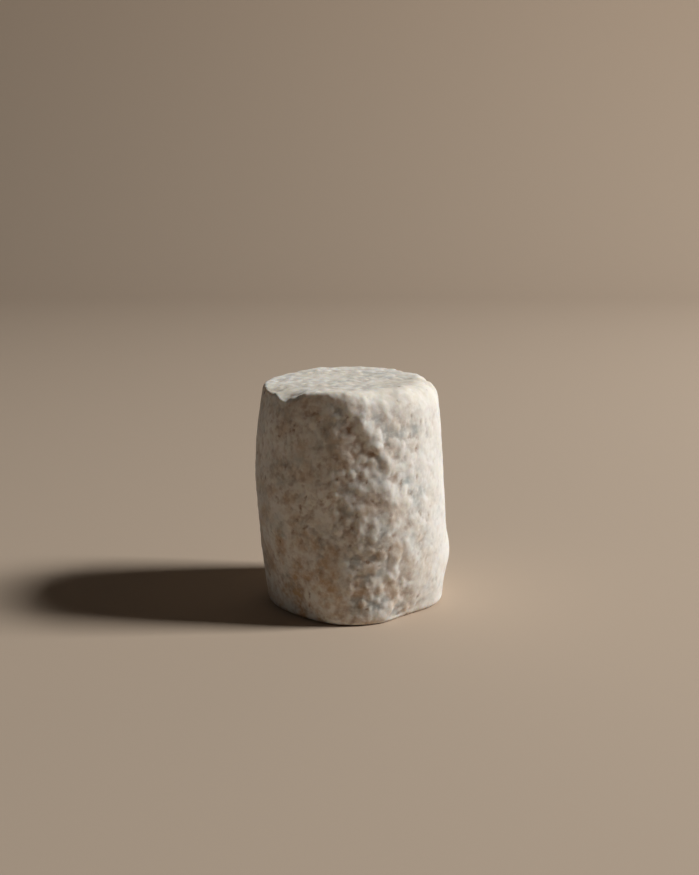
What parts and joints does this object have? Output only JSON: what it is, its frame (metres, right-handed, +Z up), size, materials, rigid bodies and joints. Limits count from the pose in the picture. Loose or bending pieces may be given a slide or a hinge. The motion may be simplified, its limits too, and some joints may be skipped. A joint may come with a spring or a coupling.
{
  "type": "aged goat cheese log",
  "caption": "Short upright drum of aged goat cheese, slightly barrel-shaped, with a lumpy natural rind, a chipped rim and a flat foot to stand on.",
  "frame": {"origin": "centre of the flat foot", "axes": "+Z up along the drum's height, -Y towards the front that the picture shows"},
  "size_m": [0.0687, 0.0671, 0.079],
  "materials": {
    "rind": "dry, powdery ivory rind with tan hollows and blue-grey mould"
  },
  "bodies": {
    "root": {"cheese_log": "rind"}
  },
  "joints": []
}
